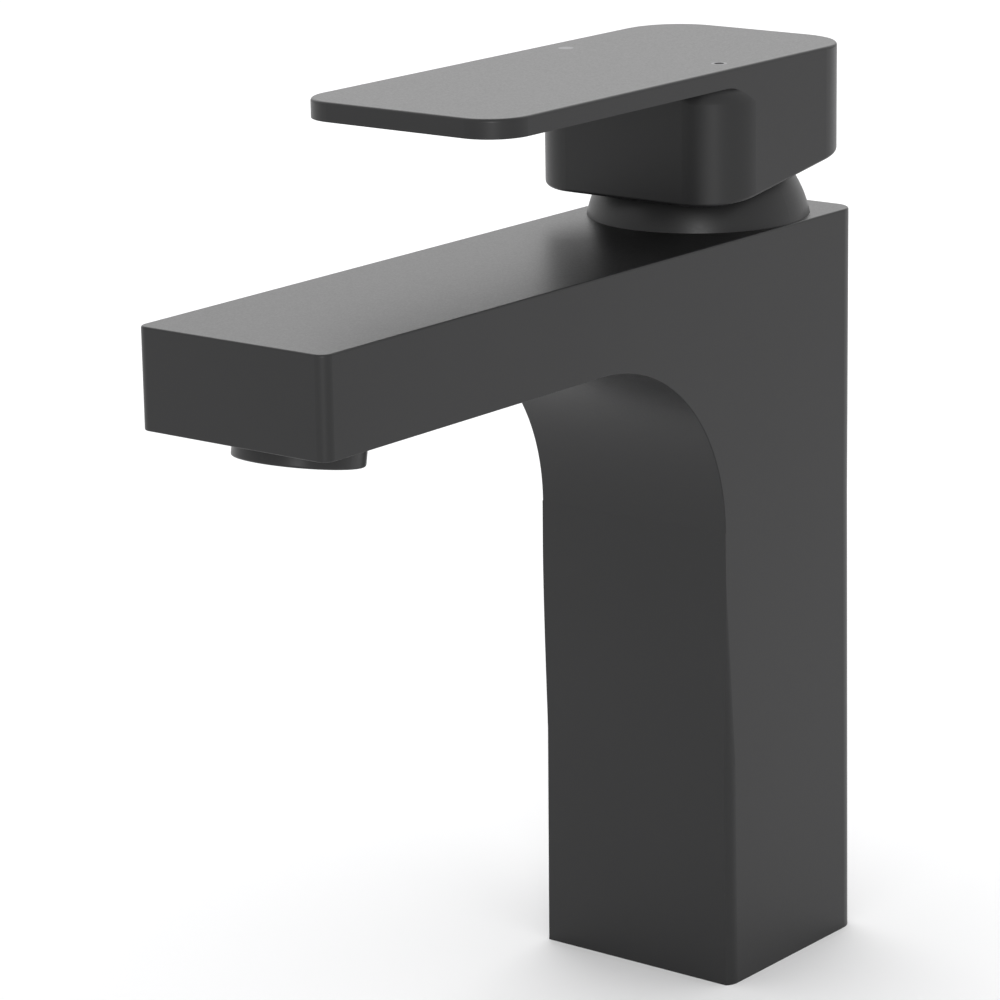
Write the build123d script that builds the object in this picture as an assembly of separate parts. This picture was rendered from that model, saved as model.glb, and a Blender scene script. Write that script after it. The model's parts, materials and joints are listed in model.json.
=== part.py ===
from build123d import *
import os
from math import cos, radians, sin, sqrt

# Single-lever basin mixer tap, in millimetres.
# +Z is up, the spout points along -Y, hot is on the -X side and cold on the +X side.
# The origin is the mouth of the fixing-stud hole, in the middle of the column's base.

# ---------------------------------------------------------------- driving sizes
column_width = 44.7            # across X, from the arch up
column_base_width = 45.9       # across X at the deck
column_depth = 44.8            # along Y
column_height = 149.0          # deck to the top face
column_wall = 4.0              # around the hose cavities
rear_corner_radius = 4.4       # vertical corners at the back
front_corner_radius = 3.5      # vertical corners at the front, low on the column
crease_cut = 1.0               # the flat front cuts this far into those corners
corner_fade_start = 45.0       # the front corners sharpen from here up to the arch
spout_reach = 137.9            # column axis to the spout's front face
spout_depth = 18.6             # top face to underside
spout_tip_width = 42.7         # the sides draw in slightly towards the tip
spout_corner_radius = 2.2
arch_radius = 38.1             # sweep from the column's front up to the spout's underside
edge_radius = 0.4              # broken edges of the casting's top face
under_edge_radius = 0.2        # along the arch and the spout's underside
mating_gap = 0.1               # between pieces that are assembled and stay put
running_gap = 0.05             # radial, between pieces that turn or slide
sliver = 0.01                  # cutting tools reach this far past a face

# ---------------------------------------------------------------- base and inlets
hose_cavity_height = 98.0
cavity_corner_radius = 3.0
centre_web = 4.0               # wall between the two hose cavities
stud_boss_radius = 6.0
stud_boss_height = 26.0
stud_hole_radius = 3.4         # tapping size of M8
stud_hole_depth = 20.0
inlet_spacing = 25.0
inlet_hole_radius = 4.5        # tapping size of M10 x 1
inlet_hole_depth = 12.0
base_seal_width = 1.8
base_seal_depth = 1.8

# ---------------------------------------------------------------- cartridge chamber and waterways
chamber_radius = 17.9
chamber_depth = 31.0           # below the column's top face
nut_seat_width = 1.0           # radial, chamber to the nut's thread
shoulder_depth = 7.4           # below the top face: the cartridge's shoulder, where the nut bears
port_spacing = 11.0            # across X, between the hot and cold ports
port_offset = -6.0             # along Y, of the hot and cold ports
port_radius = 2.6
outlet_offset = 5.0            # along Y, of the mixed-water port
peg_inset = 4.6                # housing's bore to the pegs' axes, across X
peg_radius = 1.6
peg_length = 2.4
waterway_width = 26.0
waterway_height = 9.4
waterway_start = -44.0
throat_radius = 4.6            # sloping passage from the chamber to the spout
throat_rise = 9.0              # chamber floor to where the throat leaves

# ---------------------------------------------------------------- cartridge
housing_wall = 1.9
housing_clearance = 0.4        # radial, in the chamber
housing_collar_wall = 3.4      # around the rotor, above the shoulder
housing_groove_depth = 0.9     # below the shoulder
window_share = 0.8             # outlet window's width against the housing's radius
window_sill = 1.6
housing_rise = 1.6             # above the top face
housing_bottom_gap = 0.3
port_seal_width = 1.5
seal_squash = 0.6              # the port seals stand this far out of the cartridge base
base_thickness = 5.6
disc_thickness = 3.4
moving_disc_room = 3.3         # radial, for the disc's travel
journal_step = 4.1             # housing's bore to the rotor's journal
rotor_flange_thickness = 2.3
rotor_rise = 4.4               # above the top face
rotor_drop = 1.7               # flange below the housing's seal shoulder
carrier_gap = 0.2              # carrier to rotor
pin_cover = 0.8                # journal left beyond each end of the pin
stem_neck_length = 4.2         # pivot to the top of the round neck
stem_chamfer = 0.6
pocket_margin = 1.2
pocket_share = 0.55            # depth of the pocket against the disc
outlet_floor = 2.0             # under the base's outlet channel
outlet_roof = 1.4
rotor_groove_depth = 1.6       # below the housing's top
limit_ring_drop = 1.0          # below the rotor's top
limit_ring_gap = 0.2
pivot_depth = 4.4              # below the top face: the axis that the stem tilts on
lever_arm = 10.0               # pivot to the centre of the stem's lower ball
ball_radius = 2.9
stem_size = 8.0                # square shank
neck_radius = 1.9
pin_radius = 1.5
max_lift = 25.0                # degrees
max_turn = 45.0                # degrees, each way
seal_ring_width = 1.4
seal_ring_depth = 1.3
rail_width = 2.4
rail_height = 1.1
rail_inset = 3.3               # disc's rim to the rails' middles
stop_half_angle = 9.0          # tooth on the temperature limit ring, degrees
stop_depth = 1.3
stop_margin = 1.5              # degrees

# ---------------------------------------------------------------- dome, nut and aerator
dome_radius = 22.2             # sphere centred on the pivot
dome_thickness = 1.6
dome_opening_radius = 13.5
nut_collar_step = 0.4          # thread to collar
nut_collar_rise = 3.6          # above the top face
nut_bore_gap = 0.3
dome_groove_height = 0.5       # above the column
dome_groove_depth = 1.0
dome_collar_drop = 0.8         # below the nut's rim
nut_slots = 6
nut_slot_width = 3.0
nut_slot_depth = 1.6
aerator_centre = -119.5        # along Y, where its axis meets the underside
aerator_tilt = 10.0            # degrees, throws the stream forward
aerator_flange_radius = 11.9
aerator_recess_gap = 0.5
aerator_recess_depth = 2.6
aerator_drop = 6.2             # how far the aerator stands below the spout, along its axis
aerator_thread_radius = 11.0
aerator_thread_length = 6.0
aerator_bore_radius = 9.6
aerator_lip_radius = 8.9
aerator_lip_height = 0.9
aerator_washer_thickness = 1.6
aerator_cell = 3.1             # pitch of the honeycomb
aerator_cell_wall = 0.6
aerator_insert_height = 6.0
screen_thickness = 0.6
screen_hole_radius = 0.45
screen_pitch = 2.2
plenum_radius = 8.0
plenum_height = 2.0

# ---------------------------------------------------------------- lever handle
lever_rise = 33.1              # the column's top face to the lever's
paddle_thickness = 3.6
paddle_front = -92.3
handle_rear = 21.3
handle_width = 47.4
paddle_corner_radius = 8.0
handle_rear_radius = 12.0      # vertical corners at the back
block_front = -24.5
block_corner_radius = 10.0
block_rise = 9.8               # the column's top face to the block's underside, over the axis
block_slope = 8.2              # degrees, the underside climbs towards the rear
under_paddle_radius = 3.5
handle_edge_radius = 0.6
socket_gap = 0.8               # between the dome and the handle's hollow
socket_depth = 9.4
sleeve_wall = 1.1
screw_drop = 9.7               # below the lever's top
screw_radius = 2.5
screw_length = 10.0
screw_hex_radius = 1.45
screw_hex_depth = 3.0
cap_radius = 3.6
cap_length = 3.0
cap_chamfer = 0.3
mark_spacing = 36.0
mark_offset = -18.3            # along Y
mark_radius = 1.5
mark_ring_wall = 0.55
mark_depth = 0.25

# ---------------------------------------------------------------- derived heights and radii
underside = column_height - spout_depth
column_front = -column_depth / 2
column_rear = column_depth / 2
arch_foot = underside - arch_radius
chamber_floor = column_height - chamber_depth
shoulder_height = column_height - shoulder_depth
throat_height = chamber_floor + throat_rise
housing_top = column_height + housing_rise
rotor_top = column_height + rotor_rise
pivot_height = column_height - pivot_depth
nut_collar_top = column_height + nut_collar_rise
lever_top = column_height + lever_rise
block_bottom = column_height + block_rise
screw_height = lever_top - screw_drop
housing_bottom = chamber_floor + housing_bottom_gap
housing_radius = chamber_radius - housing_clearance
housing_inner_radius = housing_radius - housing_wall
nut_thread_radius = chamber_radius + nut_seat_width
nut_collar_radius = nut_thread_radius - nut_collar_step
journal_radius = housing_inner_radius - journal_step
moving_disc_radius = housing_inner_radius - moving_disc_room
rail_spacing = 2 * (moving_disc_radius - rail_inset)
peg_spacing = 2 * (housing_inner_radius - peg_inset)
base_bottom = chamber_floor + seal_squash
base_top = base_bottom + base_thickness
fixed_disc_top = base_top + disc_thickness
moving_disc_bottom = fixed_disc_top + running_gap
moving_disc_top = moving_disc_bottom + disc_thickness
ball_height = pivot_height - lever_arm
ball_seat = ball_height - ball_radius - mating_gap
rotor_bottom = shoulder_height - seal_ring_width - rotor_flange_thickness - rotor_drop
rotor_flange_top = rotor_bottom + rotor_flange_thickness
carrier_top = rotor_bottom - carrier_gap
housing_bore_radius = journal_radius + running_gap
disc_stroke = lever_arm * sin(radians(max_lift))
disc_start = disc_stroke / 2   # the moving disc starts behind the axis and ends in front of it
neck_top = pivot_height - stem_neck_length
hollow_radius = dome_radius + socket_gap
stem_top = pivot_height + hollow_radius + socket_depth - mating_gap
sleeve_size = stem_size + 2 * (sleeve_wall + mating_gap)
aerator_shelf = aerator_recess_depth - mating_gap
aerator_top = aerator_shelf + aerator_thread_length
spout_waterway_middle = underside + spout_depth / 2
nut_bore_radius = journal_radius + housing_collar_wall
outlet_window = housing_radius * window_share
seal_radius = port_radius + port_seal_width
housing_groove_top = shoulder_height - housing_groove_depth
rotor_groove_top = housing_top - rotor_groove_depth
dome_groove_bottom = column_height + dome_groove_height


# ---------------------------------------------------------------- helpers
def rod(radius, low, high, x=0.0, y=0.0):
    return Pos(x, y, (low + high) / 2) * Cylinder(radius, high - low)


def tube(outer, inner, low, high, x=0.0, y=0.0):
    return rod(outer, low, high, x, y) - rod(inner, low - sliver, high + sliver, x, y)


def rod_between(start, end, radius):
    axis = Vector(*end) - Vector(*start)
    return Plane(origin=start, z_dir=axis) * Cylinder(
        radius, axis.length, align=(Align.CENTER, Align.CENTER, Align.MIN))


def slab(x_low, x_high, y_low, y_high, z_low, z_high):
    size = (x_high - x_low, y_high - y_low, z_high - z_low)
    return Pos(x_low, y_low, z_low) * Box(*size, align=(Align.MIN, Align.MIN, Align.MIN))


def sector(outer, inner, middle_angle, half_angle, low, high):
    """Part of a ring between two angles, in degrees from +X."""
    points = [(0, 0)]
    for angle in (-half_angle, -half_angle / 2, 0, half_angle / 2, half_angle):
        turned = radians(middle_angle + angle)
        points.append((2 * outer * cos(turned), 2 * outer * sin(turned)))
    wedge = extrude(make_face(Polyline(*points, close=True)), high - low)
    return tube(outer, inner, low, high) & (Pos(0, 0, low) * wedge)


def tapered_outline(rear, front, rear_width, front_width, rear_radius, front_radius):
    """Plan outline symmetric about X=0, with rounded corners."""
    corners = [
        (-rear_width / 2, rear), (rear_width / 2, rear),
        (front_width / 2, front), (-front_width / 2, front),
    ]
    face = make_face(Polyline(*corners, close=True))
    ordered = face.vertices().sort_by(Axis.Y)
    face = fillet(ordered[2:], rear_radius)
    ordered = face.vertices().sort_by(Axis.Y)
    return fillet(ordered[:2], front_radius)


def only_solid(shape):
    """The largest solid of a boolean result."""
    return shape.solids().sort_by(SortBy.VOLUME)[-1]


# ---------------------------------------------------------------- body
def body_width_at(y):
    share = (column_rear - y) / (column_rear + spout_reach)
    return column_width + (spout_tip_width - column_width) * share


def column_section(height, front_radius):
    """Plan of the column, drawn a little too far forward; the front is cut flat afterwards."""
    share = height / arch_foot
    rear_width = column_base_width + (column_width - column_base_width) * share
    front_width = column_base_width + (body_width_at(column_front) - column_base_width) * share
    outline = tapered_outline(column_rear, column_front - crease_cut, rear_width, front_width,
                              rear_corner_radius, front_radius)
    return Pos(0, 0, height) * outline


def column_foot():
    """The column below the arch; a crease runs down each front corner, which sharpens as it rises."""
    low = loft([column_section(0, front_corner_radius),
                column_section(corner_fade_start, front_corner_radius)], ruled=True)
    fading = loft([column_section(corner_fade_start, front_corner_radius),
                   column_section(arch_foot, edge_radius)], ruled=True)
    flat_front = slab(-column_depth, column_depth, column_front, column_depth, 0, arch_foot)
    return (low + fading) & flat_front


def head_and_spout():
    """The column above the arch's foot, with the spout and the arch."""
    slope = arch_radius * cos(radians(45))
    arch_centre_y = column_front - arch_radius
    line = Polyline((arch_centre_y, underside), (-spout_reach, underside), (-spout_reach, column_height),
                    (column_rear, column_height), (column_rear, arch_foot), (column_front, arch_foot))
    arc = ThreePointArc((column_front, arch_foot), (arch_centre_y + slope, arch_foot + slope),
                        (arch_centre_y, underside))
    side = extrude(Plane.YZ * make_face([line, arc]), column_width, both=True)
    plan = tapered_outline(column_rear, -spout_reach, column_width, spout_tip_width,
                           rear_corner_radius, spout_corner_radius)
    head = only_solid(side & extrude(plan, column_height))
    head = fillet(head.faces().sort_by(Axis.Z)[-1].edges(), edge_radius)
    arch_faces = head.faces().filter_by(GeomType.CYLINDER).filter_by(
        lambda face: abs(face.radius - arch_radius) < sliver)
    under_faces = head.faces().filter_by(Axis.Z).filter_by(
        lambda face: abs(face.center().Z - underside) < sliver)
    under_edges = [edge for face in list(arch_faces) + list(under_faces) for edge in face.edges()
                   if abs(edge.center().X) > sliver or edge.center().Y < -spout_reach + sliver]
    return fillet(under_edges, under_edge_radius)


def hose_cavities():
    half_width = column_width / 2 - column_wall
    half_depth = column_depth / 2 - column_wall
    plan = RectangleRounded(2 * half_width, 2 * half_depth, cavity_corner_radius)
    cavity = Pos(0, 0, -sliver) * extrude(plan, hose_cavity_height + sliver)
    web = slab(-centre_web / 2, centre_web / 2, -half_depth - 1, half_depth + 1, -1, hose_cavity_height + 1)
    boss = rod(stud_boss_radius, -1, stud_boss_height)
    return cavity - web - boss


def inlet_passages():
    passages = []
    for side in (-1, 1):
        x = side * inlet_spacing / 2
        thread_top = hose_cavity_height + inlet_hole_depth
        passages.append(rod(inlet_hole_radius, hose_cavity_height - sliver, thread_top, x))
        start = (x, 0, thread_top - port_radius)
        end = (side * port_spacing / 2, port_offset, chamber_floor + 1)
        passages.append(rod_between(start, end, port_radius))
    return passages


def chamber():
    peg_holes = [rod(peg_radius + mating_gap, chamber_floor - peg_length, chamber_floor + 1, x, outlet_offset)
                 for x in (-peg_spacing / 2, peg_spacing / 2)]
    return [
        rod(chamber_radius, chamber_floor, column_height + 1),
        rod(nut_thread_radius + mating_gap, shoulder_height, column_height + 1),
        *peg_holes,
    ]


def aerator_place():
    """Frame of the aerator: its origin on the underside, its Z along the tilted axis."""
    return Pos(0, aerator_centre, underside) * Rot(-aerator_tilt, 0, 0)


def aerator_socket():
    recess = rod(aerator_flange_radius + aerator_recess_gap, -2 * aerator_drop, aerator_recess_depth)
    thread = rod(aerator_thread_radius + mating_gap, 0, aerator_top + aerator_washer_thickness)
    plenum = rod(plenum_radius, 0, aerator_top + aerator_washer_thickness + plenum_height)
    return [aerator_place() * shape for shape in (recess, thread, plenum)]


def spout_waterway():
    half_height = waterway_height / 2
    channel = slab(-waterway_width / 2, waterway_width / 2, aerator_centre, waterway_start,
                   spout_waterway_middle - half_height, spout_waterway_middle + half_height)
    channel = fillet(channel.edges().filter_by(Axis.Y), half_height * 0.9)
    elbow = (0, waterway_start - throat_radius, spout_waterway_middle)
    throat = rod_between((0, -chamber_radius + 2, throat_height), elbow, throat_radius)
    return [channel, throat]


def seal_outline(inset):
    width = column_width - 2 * inset
    depth = column_depth - 2 * inset
    return RectangleRounded(width, depth, cavity_corner_radius + column_wall - inset)


def base_seal():
    """Square-section gasket that lies in a groove in the column's foot."""
    outer = (column_wall - base_seal_width) / 2
    ring = seal_outline(outer) - seal_outline(outer + base_seal_width)
    return extrude(ring, base_seal_depth)


def body():
    shape = head_and_spout() + column_foot()
    shape = shape - hose_cavities()
    for tool in inlet_passages() + chamber() + spout_waterway() + aerator_socket():
        shape = shape - tool
    shape = shape - rod(stud_hole_radius, -sliver, stud_hole_depth)
    return only_solid(shape - base_seal())


# ---------------------------------------------------------------- cartridge
def cartridge_housing():
    outer = rod(housing_radius, housing_bottom, shoulder_height)
    outer += rod(nut_bore_radius - nut_bore_gap, shoulder_height, housing_top)
    outer -= rod(housing_inner_radius, housing_bottom - 1, rotor_flange_top + running_gap)
    outer -= rod(housing_bore_radius, housing_bottom, housing_top + 1)
    window = slab(-outlet_window / 2, outlet_window / 2, -housing_radius - 1, 0,
                  housing_bottom + window_sill, base_top - 1)
    groove = tube(housing_radius + 1, housing_radius - seal_ring_depth,
                  housing_groove_top - seal_ring_width, housing_groove_top)
    return only_solid(outer - window - groove)


def housing_seal_ring():
    return tube(chamber_radius, housing_radius - seal_ring_depth,
                housing_groove_top - seal_ring_width, housing_groove_top)


def port_places():
    return [(-port_spacing / 2, port_offset), (port_spacing / 2, port_offset)]


def cartridge_base():
    """Plastic end piece with two inlet ports and an outlet channel to the housing's window."""
    radius = housing_inner_radius - mating_gap
    shape = rod(radius, base_bottom, base_top)
    for x, y in port_places():
        shape -= rod(port_radius, base_bottom - 1, base_top + 1, x, y)
        shape -= rod(seal_radius, base_bottom - 1, base_bottom + 1, x, y)
    channel_floor = base_bottom + outlet_floor
    shape -= rod(port_radius, channel_floor, base_top + 1, 0, outlet_offset)
    channel_half = port_spacing / 2 - port_radius - 1
    shape -= slab(-channel_half, channel_half, -radius - 1, outlet_offset,
                  channel_floor, base_top - outlet_roof)
    for x in (-peg_spacing / 2, peg_spacing / 2):
        shape += rod(peg_radius, chamber_floor - peg_length + mating_gap, base_bottom, x, outlet_offset)
    return only_solid(shape)


def port_seals():
    return [tube(seal_radius, port_radius, chamber_floor, base_bottom + 1, x, y) for x, y in port_places()]


def fixed_disc():
    shape = rod(housing_inner_radius - mating_gap, base_top, fixed_disc_top)
    for x, y in port_places() + [(0, outlet_offset)]:
        shape -= rod(port_radius, base_top - 1, fixed_disc_top + 1, x, y)
    return shape


def moving_disc():
    """Ceramic disc whose blind pocket joins the inlets to the outlet as it slides forward."""
    shape = rod(moving_disc_radius, moving_disc_bottom, moving_disc_top, y=disc_start)
    pocket_front = port_offset + port_radius + pocket_margin
    pocket_half_width = port_spacing / 2 + 1
    pocket_rear = outlet_offset + port_radius + disc_start
    pocket = slab(-pocket_half_width, pocket_half_width, pocket_front, pocket_rear,
                  moving_disc_bottom - 1, moving_disc_bottom + disc_thickness * pocket_share)
    return shape - fillet(pocket.edges().filter_by(Axis.Z), port_radius)


def carrier_rail(x, gap, low, high):
    half = rail_width / 2 + gap
    return slab(x - half, x + half, -2 * housing_radius, 2 * housing_radius, low, high)


def disc_carrier():
    """Plastic slide on the moving disc: a socket for the stem's ball and two rails for the rotor."""
    shape = rod(moving_disc_radius, moving_disc_top, carrier_top + rail_height, y=disc_start)
    keep = rod(moving_disc_radius, moving_disc_top, carrier_top, y=disc_start)
    for x in (-rail_spacing / 2, rail_spacing / 2):
        keep += shape & carrier_rail(x, 0, carrier_top - 1, carrier_top + rail_height)
    return only_solid(keep - rod(ball_radius + mating_gap, ball_seat, carrier_top + 1))


def pin_hole(radius, half_length):
    return Pos(0, 0, pivot_height) * Rot(0, 90, 0) * Cylinder(radius, 2 * half_length)


def stem_sweep(width, low, high):
    """Space that the square shank needs in the rotor, from closed to fully open."""
    half = stem_size / 2 + mating_gap
    lean = radians(max_lift)
    above = high - pivot_height
    below = pivot_height - low
    reach_up = above * sin(lean) / cos(lean) + half / cos(lean)
    reach_down = below * sin(lean) / cos(lean) + half / cos(lean)
    outline = Polyline((-half, high), (reach_up, high), (half / cos(lean), pivot_height),
                       (half, low), (-reach_down, low), (-half / cos(lean), pivot_height), close=True)
    return extrude(Plane.YZ * make_face(outline), width / 2, both=True)


def cartridge_rotor():
    shape = rod(journal_radius, rotor_bottom, rotor_top)
    shape += rod(housing_inner_radius - running_gap * 2, rotor_bottom, rotor_flange_top)
    for x in (-rail_spacing / 2, rail_spacing / 2):
        shape -= carrier_rail(x, mating_gap, rotor_bottom - 1, carrier_top + rail_height + mating_gap)
    shape -= stem_sweep(stem_size + 2 * running_gap, rotor_bottom - 1, rotor_top + 1)
    shape -= pin_hole(pin_radius, journal_radius - pin_cover)
    shape -= rotor_groove()
    notch = max_turn + stop_half_angle + stop_margin
    shape -= sector(journal_radius + 1, journal_radius - stop_depth - running_gap, 90, notch,
                    housing_top - limit_ring_gap, rotor_top + 1)
    return only_solid(shape)


def rotor_groove():
    return tube(journal_radius + 1, journal_radius - seal_ring_depth,
                rotor_groove_top - seal_ring_width, rotor_groove_top)


def rotor_seal_ring():
    return tube(journal_radius, journal_radius - seal_ring_depth,
                rotor_groove_top - seal_ring_width, rotor_groove_top)


def stem_pin():
    return pin_hole(pin_radius, journal_radius - pin_cover)


def cartridge_stem():
    """Square shank with a ball end below, cross-drilled for the pin it tilts on."""
    half = stem_size / 2
    shank = slab(-half, half, -half, half, neck_top, stem_top)
    shank = chamfer(shank.faces().sort_by(Axis.Z)[-1].edges(), stem_chamfer)
    neck = rod(neck_radius, ball_height, neck_top + 1)
    ball = Pos(0, 0, ball_height) * Sphere(ball_radius)
    return only_solid(shank + neck + ball - pin_hole(pin_radius + running_gap, half + 1))


def temperature_limit_ring():
    """Slips over the rotor; its inner tooth stops the lever at full hot and full cold."""
    low = housing_top
    high = rotor_top - limit_ring_drop
    ring = tube(nut_bore_radius - nut_bore_gap, journal_radius + limit_ring_gap, low, high)
    tooth = sector(journal_radius + 2 * limit_ring_gap, journal_radius - stop_depth,
                   90, stop_half_angle, low, high)
    return only_solid(ring + tooth)


def retaining_nut():
    """Threaded ring that holds the cartridge down, with spanner slots in its rim."""
    shape = rod(nut_thread_radius, shoulder_height, column_height)
    shape += rod(nut_collar_radius, column_height, nut_collar_top)
    shape -= rod(nut_bore_radius, shoulder_height - 1, nut_collar_top + 1)
    for turn in range(nut_slots):
        slot = slab(nut_bore_radius - 1, nut_collar_radius + 1, -nut_slot_width / 2, nut_slot_width / 2,
                    nut_collar_top - nut_slot_depth, nut_collar_top + 1)
        shape -= Rot(0, 0, turn * 360 / nut_slots) * slot
    return only_solid(shape - dome_groove())


def dome_groove():
    return tube(nut_collar_radius + 1, nut_collar_radius - dome_groove_depth,
                dome_groove_bottom, dome_groove_bottom + seal_ring_width)


def dome_seal_ring():
    return tube(nut_collar_radius + mating_gap, nut_collar_radius - dome_groove_depth,
                dome_groove_bottom, dome_groove_bottom + seal_ring_width)


def dome_cover():
    """Spherical cap over the cartridge, centred on the stem's pivot."""
    ball = Pos(0, 0, pivot_height) * (Sphere(dome_radius) - Sphere(dome_radius - dome_thickness))
    shell = ball & rod(2 * dome_radius, column_height, pivot_height + 2 * dome_radius)
    inner = nut_collar_radius + mating_gap
    collar_top = nut_collar_top - dome_collar_drop
    collar = rod(dome_radius, column_height, collar_top) & (Pos(0, 0, pivot_height) * Sphere(dome_radius))
    shape = shell + collar - rod(inner, column_height - 1, collar_top)
    return only_solid(shape - rod(dome_opening_radius, pivot_height, pivot_height + 2 * dome_radius))


# ---------------------------------------------------------------- aerator
def aerator_housing():
    shape = rod(aerator_thread_radius, aerator_shelf, aerator_top)
    flange = rod(aerator_flange_radius, -aerator_drop, aerator_shelf)
    shape += fillet(flange.edges().filter_by(GeomType.CIRCLE).sort_by(Axis.Z)[0], edge_radius)
    shape -= rod(aerator_bore_radius, aerator_lip_height - aerator_drop, aerator_top + 1)
    return aerator_place() * (shape - rod(aerator_lip_radius, -aerator_drop - 1, aerator_top))


def disc_grid(pitch, limit):
    """Centres of a triangular grid that lie within a circle."""
    rows = int(limit / pitch) + 1
    places = []
    for row in range(-rows, rows + 1):
        for column in range(-rows - 1, rows + 2):
            x = (column + (row % 2) / 2) * pitch
            y = row * pitch * sqrt(3) / 2
            if sqrt(x * x + y * y) <= limit:
                places.append((x, y))
    return places


def aerator_insert():
    """Plastic core with the honeycomb that the water leaves through."""
    low = aerator_lip_height - aerator_drop
    radius = aerator_bore_radius - mating_gap
    cell_radius = (aerator_cell - aerator_cell_wall) / sqrt(3)
    plan = Circle(radius)
    for x, y in disc_grid(aerator_cell, radius - aerator_cell * 0.75):
        plan -= Pos(x, y) * RegularPolygon(cell_radius, 6, rotation=30)
    return only_solid(aerator_place() * Pos(0, 0, low) * extrude(plan, aerator_insert_height))


def aerator_screen():
    """Perforated disc that keeps grit out of the honeycomb."""
    low = aerator_lip_height - aerator_drop + aerator_insert_height
    radius = aerator_bore_radius - mating_gap
    plan = Circle(radius)
    for x, y in disc_grid(screen_pitch, radius - screen_pitch / 2):
        plan -= Pos(x, y) * Circle(screen_hole_radius)
    return only_solid(aerator_place() * Pos(0, 0, low) * extrude(plan, screen_thickness))


def aerator_washer():
    washer = tube(aerator_thread_radius, plenum_radius, aerator_top, aerator_top + aerator_washer_thickness)
    return aerator_place() * washer


# ---------------------------------------------------------------- lever
def below_block():
    """Everything under the block's sloping underside."""
    return Pos(0, 0, block_bottom) * Rot(block_slope, 0, 0) * slab(-60, 60, -60, 60, -40, 0)


def handle_form():
    """Paddle and block; the paddle's underside rounds down into the block's front."""
    under = lever_top - paddle_thickness
    low = block_bottom - 10
    block_plan = tapered_outline(2 * handle_rear, block_front, handle_width, handle_width,
                                 1, block_corner_radius)
    wide = slab(-handle_width, handle_width, paddle_front - 1, 2 * handle_rear + 9, under, lever_top)
    shape = wide + Pos(0, 0, low) * extrude(block_plan, under - low)
    joint_edges = [edge for edge in shape.edges()
                   if abs(edge.center().Z - under) < sliver
                   and abs(edge.center().X) < handle_width / 2 + sliver
                   and block_front - sliver < edge.center().Y < 2 * handle_rear - 2]
    shape = fillet(joint_edges, under_paddle_radius)
    plan = tapered_outline(handle_rear, paddle_front, handle_width, handle_width,
                           handle_rear_radius, paddle_corner_radius)
    shape = shape & (Pos(0, 0, low - 1) * extrude(plan, lever_top - low + 2))
    return only_solid(shape - below_block())


def lever_handle():
    shape = handle_form()
    ordered = shape.faces().sort_by(Axis.Z)
    rims = list(ordered[0].edges()) + list(ordered[-1].edges())
    shape = fillet(rims, handle_edge_radius)
    shape -= Pos(0, 0, pivot_height) * Sphere(hollow_radius)
    socket = sleeve_size / 2 + mating_gap
    shape -= slab(-socket, socket, -socket, socket, pivot_height, stem_top + mating_gap)
    shape -= screw_bore(screw_radius + mating_gap, 0)
    shape -= screw_bore(cap_radius + mating_gap, handle_rear - cap_length)
    for x in (-mark_spacing / 2, mark_spacing / 2):
        shape -= rod(mark_radius, lever_top - mark_depth, lever_top + 1, x, mark_offset)
    return only_solid(shape)


def screw_bore(radius, start, end=handle_rear + 1):
    return rod_between((0, start, screw_height), (0, end, screw_height), radius)


def stem_sleeve():
    """Plastic bush between the square shank and the handle's socket."""
    outer = sleeve_size / 2
    inner = stem_size / 2 + mating_gap / 2
    low = pivot_height + hollow_radius
    sleeve = slab(-outer, outer, -outer, outer, low, stem_top)
    sleeve -= slab(-inner, inner, -inner, inner, low - 1, stem_top + 1)
    return sleeve - screw_bore(screw_radius + mating_gap, 0)


def grub_screw():
    start = stem_size / 2 + mating_gap / 2
    shape = screw_bore(screw_radius, start, start + screw_length)
    hexagon = Plane(origin=(0, start + screw_length + sliver, screw_height), z_dir=(0, -1, 0)) * extrude(
        RegularPolygon(screw_hex_radius, 6), screw_hex_depth)
    return shape - hexagon


def screw_cap():
    cap = screw_bore(cap_radius, handle_rear - cap_length + mating_gap, handle_rear)
    return chamfer(cap.edges().filter_by(GeomType.CIRCLE).sort_by(Axis.Y)[-1], cap_chamfer)


def hot_mark():
    """Filled dot let into the handle on the hot side."""
    return rod(mark_radius, lever_top - mark_depth, lever_top, -mark_spacing / 2, mark_offset)


def cold_mark():
    """Open ring let into the handle on the cold side, with the metal showing in its middle."""
    return tube(mark_radius, mark_radius - mark_ring_wall, lever_top - mark_depth, lever_top,
                mark_spacing / 2, mark_offset)


PARTS = {
    "body": body,
    "base_seal": base_seal,
    "cartridge_housing": cartridge_housing,
    "housing_seal_ring": housing_seal_ring,
    "cartridge_base": cartridge_base,
    "port_seals": port_seals,
    "fixed_disc": fixed_disc,
    "moving_disc": moving_disc,
    "disc_carrier": disc_carrier,
    "cartridge_rotor": cartridge_rotor,
    "rotor_seal_ring": rotor_seal_ring,
    "stem_pin": stem_pin,
    "cartridge_stem": cartridge_stem,
    "temperature_limit_ring": temperature_limit_ring,
    "retaining_nut": retaining_nut,
    "dome_seal_ring": dome_seal_ring,
    "dome_cover": dome_cover,
    "aerator_housing": aerator_housing,
    "aerator_insert": aerator_insert,
    "aerator_screen": aerator_screen,
    "aerator_washer": aerator_washer,
    "lever_handle": lever_handle,
    "stem_sleeve": stem_sleeve,
    "grub_screw": grub_screw,
    "screw_cap": screw_cap,
    "hot_mark": hot_mark,
    "cold_mark": cold_mark,
}


def write_parts():
    os.makedirs("parts", exist_ok=True)
    for name, make in PARTS.items():
        shape = make()
        if isinstance(shape, list):
            shape = Compound(shape)
        export_step(shape, f"parts/{name}.step")


write_parts()
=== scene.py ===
"""Looks and studio for the single-lever basin mixer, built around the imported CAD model. Metres."""
import json
import math

import bpy
from mathutils import Matrix, Vector


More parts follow.
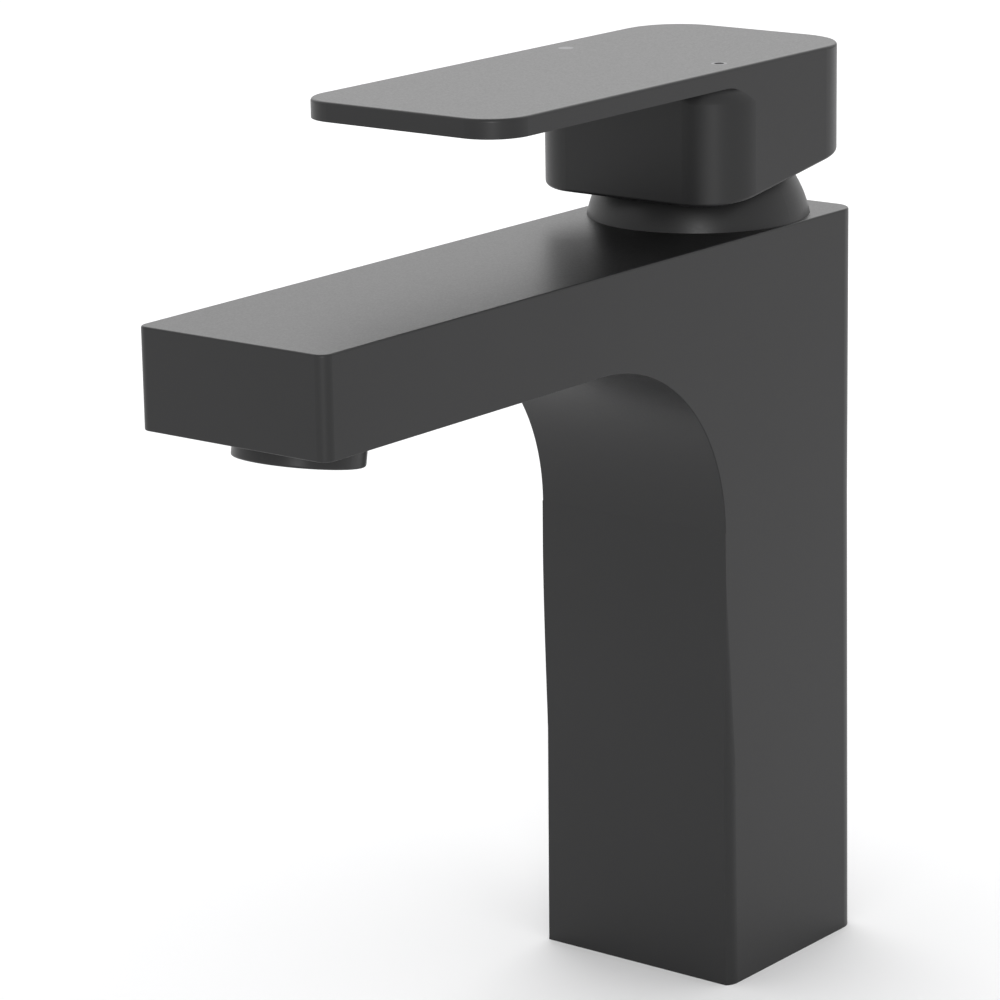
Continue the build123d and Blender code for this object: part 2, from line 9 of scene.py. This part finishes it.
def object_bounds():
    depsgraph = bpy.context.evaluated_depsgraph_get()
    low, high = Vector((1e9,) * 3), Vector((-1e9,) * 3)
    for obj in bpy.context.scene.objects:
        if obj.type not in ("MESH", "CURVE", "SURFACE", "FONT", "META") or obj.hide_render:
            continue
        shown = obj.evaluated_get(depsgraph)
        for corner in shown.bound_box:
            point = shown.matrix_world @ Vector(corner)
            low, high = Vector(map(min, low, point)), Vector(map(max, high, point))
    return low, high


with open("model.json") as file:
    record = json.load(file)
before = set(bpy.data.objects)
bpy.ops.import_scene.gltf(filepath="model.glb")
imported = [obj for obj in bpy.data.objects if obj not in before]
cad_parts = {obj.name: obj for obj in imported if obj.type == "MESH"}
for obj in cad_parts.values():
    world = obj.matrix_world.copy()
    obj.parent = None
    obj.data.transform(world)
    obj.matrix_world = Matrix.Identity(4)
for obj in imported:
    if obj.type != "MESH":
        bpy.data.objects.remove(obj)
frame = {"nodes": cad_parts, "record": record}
cad_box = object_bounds()
nodes = frame["nodes"]

# ---- camera: where it stands, seen from the middle of the tap ----
CAMERA_AZIMUTH = math.radians(38.27)
CAMERA_ELEVATION = math.radians(14.831)
CAMERA_ROLL = math.radians(-0.964)
CAMERA_DISTANCE = 0.8
CAMERA_AIM_OFFSET = Vector((-0.01529, 0.01319, 0.00721))
CAMERA_LENS_MM = 149.72
SENSOR_MM = 36.0

# ---- studio ----
FLOOR_SIZE = 14.0
FLOOR_COLOUR = (0.93, 0.93, 0.935)
FLOOR_SHADE = 0.99                  # the floor's darker patches against its colour
FLOOR_PATCHES = 6.0                 # per metre
SKY_STRENGTH = 1.0
# Softboxes: azimuth and elevation in degrees, distance, width and height in metres, watts.
REAR_SOFTBOX = (218.0, 34.0, 1.4, 1.6, 0.9, 5.4)
FRONT_SOFTBOX = (38.0, 13.0, 1.6, 0.4, 0.5, 6.0)

# ---- surfaces ----
NOISE_LOW = 0.3                     # the usual span of the fractal noise
NOISE_HIGH = 0.7
COATING_DARK = (0.0110, 0.0110, 0.0114)
COATING_LIGHT = (0.0135, 0.0135, 0.0139)
COATING_ROUGHNESS = 0.38
COATING_GLOSS_SPREAD = 0.03
COATING_IOR = 1.5
COATING_SPECULAR = 0.34
COATING_CLOUDS = 35.0               # per metre
COATING_GRAIN = 2600.0              # per metre
COATING_RELIEF = 0.00003
GRAIN_SCALE = 900.0                 # per metre, moulded and lapped surfaces
METAL_GRAIN_SCALE = 1400.0
GRAIN_GLOSS_SPREAD = 0.05
GRAIN_RELIEF = 0.00002
MIX_FACTOR, MIX_DARK, MIX_LIGHT = 0, 6, 7   # colour sockets of the Mix node
MIX_RESULT = 2


# ---------------------------------------------------------------- materials
def new_material(name):
    """An empty node material and its Principled shader."""
    mat = bpy.data.materials.new(name)
    mat.use_nodes = True
    tree = mat.node_tree
    tree.nodes.clear()
    out = tree.nodes.new("ShaderNodeOutputMaterial")
    shader = tree.nodes.new("ShaderNodeBsdfPrincipled")
    tree.links.new(shader.outputs["BSDF"], out.inputs["Surface"])
    return mat, tree, shader


def object_coords(tree):
    """Object-space coordinates for the procedural textures."""
    return tree.nodes.new("ShaderNodeTexCoord").outputs["Object"]


def noise(tree, vector, scale, detail=3.0, roughness=0.5):
    """Fractal noise; scale is in features per metre."""
    node = tree.nodes.new("ShaderNodeTexNoise")
    node.inputs["Scale"].default_value = scale
    node.inputs["Detail"].default_value = detail
    node.inputs["Roughness"].default_value = roughness
    tree.links.new(vector, node.inputs["Vector"])
    return node.outputs["Fac"]


def ramp_value(tree, fac, low, high):
    """Maps the noise onto the range low to high."""
    node = tree.nodes.new("ShaderNodeMapRange")
    node.inputs["From Min"].default_value = NOISE_LOW
    node.inputs["From Max"].default_value = NOISE_HIGH
    node.inputs["To Min"].default_value = low
    node.inputs["To Max"].default_value = high
    tree.links.new(fac, node.inputs["Value"])
    return node.outputs["Result"]


def ramp_colour(tree, fac, dark, light):
    """Mixes two colours by a 0 to 1 texture."""
    node = tree.nodes.new("ShaderNodeMix")
    node.data_type = "RGBA"
    node.inputs[MIX_DARK].default_value = (*dark, 1.0)
    node.inputs[MIX_LIGHT].default_value = (*light, 1.0)
    tree.links.new(fac, node.inputs[MIX_FACTOR])
    return node.outputs[MIX_RESULT]


def bump(tree, shader, height, strength, distance):
    """Feeds a height into the shader's normal."""
    node = tree.nodes.new("ShaderNodeBump")
    node.inputs["Strength"].default_value = strength
    node.inputs["Distance"].default_value = distance
    tree.links.new(height, node.inputs["Height"])
    tree.links.new(node.outputs["Normal"], shader.inputs["Normal"])


def black_coating(name):
    """Satin-matt black coating: a very fine orange-peel grain and faint cloudiness in colour."""
    mat, tree, shader = new_material(name)
    vector = object_coords(tree)
    cloud = noise(tree, vector, COATING_CLOUDS, 2.0)
    grain = noise(tree, vector, COATING_GRAIN, 2.0, 0.6)
    colour = ramp_colour(tree, cloud, COATING_DARK, COATING_LIGHT)
    tree.links.new(colour, shader.inputs["Base Color"])
    gloss = ramp_value(tree, grain, COATING_ROUGHNESS - COATING_GLOSS_SPREAD,
                       COATING_ROUGHNESS + COATING_GLOSS_SPREAD)
    tree.links.new(gloss, shader.inputs["Roughness"])
    bump(tree, shader, grain, 0.12, COATING_RELIEF)
    shader.inputs["IOR"].default_value = COATING_IOR
    shader.inputs["Specular IOR Level"].default_value = COATING_SPECULAR
    return mat


def grained(dark, light, roughness, scale=GRAIN_SCALE, metallic=0.0):
    """Maker of a fine-grained moulded, lapped or turned surface in two close shades."""
    def make(name):
        mat, tree, shader = new_material(name)
        grain = noise(tree, object_coords(tree), scale)
        tree.links.new(ramp_colour(tree, grain, dark, light), shader.inputs["Base Color"])
        gloss = ramp_value(tree, grain, roughness - GRAIN_GLOSS_SPREAD, roughness + GRAIN_GLOSS_SPREAD)
        tree.links.new(gloss, shader.inputs["Roughness"])
        shader.inputs["Metallic"].default_value = metallic
        bump(tree, shader, grain, 0.2, GRAIN_RELIEF)
        return mat
    return make


MATERIALS = {
    "body_coating": black_coating,
    "dome_coating": black_coating,
    "lever_coating": black_coating,
    "aerator_coating": black_coating,
    "rubber": grained((0.018, 0.018, 0.019), (0.03, 0.03, 0.031), 0.6),
    "white_plastic": grained((0.74, 0.74, 0.72), (0.82, 0.82, 0.80), 0.42),
    "grey_plastic": grained((0.30, 0.31, 0.33), (0.36, 0.37, 0.39), 0.42),
    "red_plastic": grained((0.42, 0.02, 0.015), (0.52, 0.03, 0.02), 0.4),
    "black_plastic": grained((0.02, 0.02, 0.021), (0.028, 0.028, 0.03), 0.45),
    "ceramic": grained((0.78, 0.77, 0.73), (0.85, 0.84, 0.81), 0.22),
    "brass": grained((0.72, 0.50, 0.22), (0.80, 0.58, 0.28), 0.3, METAL_GRAIN_SCALE, 1.0),
    "stainless": grained((0.55, 0.55, 0.56), (0.66, 0.66, 0.67), 0.28, METAL_GRAIN_SCALE, 1.0),
    "mark_enamel": grained((0.10, 0.10, 0.105), (0.13, 0.13, 0.135), 0.4),
}


def dress_nodes():
    """Gives every CAD node the finished material of its slot."""
    made = {slot: make(slot) for slot, make in MATERIALS.items()}
    for part in frame["record"]["subparts"]:
        obj = nodes[part["node"]]
        obj.material_slots[0].material = made[part["material_slot"]]


# ---------------------------------------------------------------- studio
def add_floor(base):
    """Plain pale floor."""
    bpy.ops.mesh.primitive_plane_add(size=FLOOR_SIZE, location=(0.0, 0.0, base))
    floor = bpy.context.object
    floor.name = "floor"
    mat, tree, shader = new_material("pale_floor")
    grain = noise(tree, object_coords(tree), FLOOR_PATCHES, 2.0)
    dark = tuple(FLOOR_SHADE * c for c in FLOOR_COLOUR)
    tree.links.new(ramp_colour(tree, grain, dark, FLOOR_COLOUR), shader.inputs["Base Color"])
    shader.inputs["Roughness"].default_value = 0.8
    shader.inputs["Specular IOR Level"].default_value = 0.2
    floor.data.materials.append(mat)


def softbox(name, azimuth, elevation, distance, width, height, power, aim):
    """An area light round the tap; azimuth 0 is in front of the spout, and it grows towards +X."""
    data = bpy.data.lights.new(name, "AREA")
    data.shape = "RECTANGLE"
    data.size = width
    data.size_y = height
    data.energy = power
    light = bpy.data.objects.new(name, data)
    bpy.context.scene.collection.objects.link(light)
    a = math.radians(azimuth)
    e = math.radians(elevation)
    back = Vector((math.sin(a) * math.cos(e), -math.cos(a) * math.cos(e), math.sin(e)))
    light.location = aim + back * distance
    light.rotation_mode = "QUATERNION"
    light.rotation_quaternion = (-back).to_track_quat("-Z", "Y")
    light.visible_camera = False


def add_world():
    """A soft pale room all round."""
    world = bpy.data.worlds.new("studio")
    bpy.context.scene.world = world
    world.use_nodes = True
    background = world.node_tree.nodes["Background"]
    background.inputs["Color"].default_value = (1.0, 1.0, 1.0, 1.0)
    background.inputs["Strength"].default_value = SKY_STRENGTH


def add_camera(centre):
    """The camera at its standing point, turned to its aim and rolled a little."""
    data = bpy.data.cameras.new("camera")
    data.sensor_width = SENSOR_MM
    data.lens = CAMERA_LENS_MM
    camera = bpy.data.objects.new("camera", data)
    bpy.context.scene.collection.objects.link(camera)
    a, e = CAMERA_AZIMUTH, CAMERA_ELEVATION
    back = Vector((math.sin(a) * math.cos(e), -math.cos(a) * math.cos(e), math.sin(e)))
    right = Vector((math.cos(a), math.sin(a), 0.0))
    up = back.cross(right)
    turned_right = math.cos(CAMERA_ROLL) * right + math.sin(CAMERA_ROLL) * up
    turned_up = math.cos(CAMERA_ROLL) * up - math.sin(CAMERA_ROLL) * right
    basis = Matrix((turned_right, turned_up, back)).transposed()
    place = centre + CAMERA_AIM_OFFSET + back * CAMERA_DISTANCE
    camera.matrix_world = Matrix.Translation(place) @ basis.to_4x4()
    bpy.context.scene.camera = camera


low, high = cad_box
middle = (low + high) / 2
add_camera(middle)
add_world()
add_floor(low.z)
softbox("rear_softbox", *REAR_SOFTBOX, middle)
softbox("front_softbox", *FRONT_SOFTBOX, middle)
dress_nodes()
bpy.context.scene.view_settings.view_transform = "Standard"
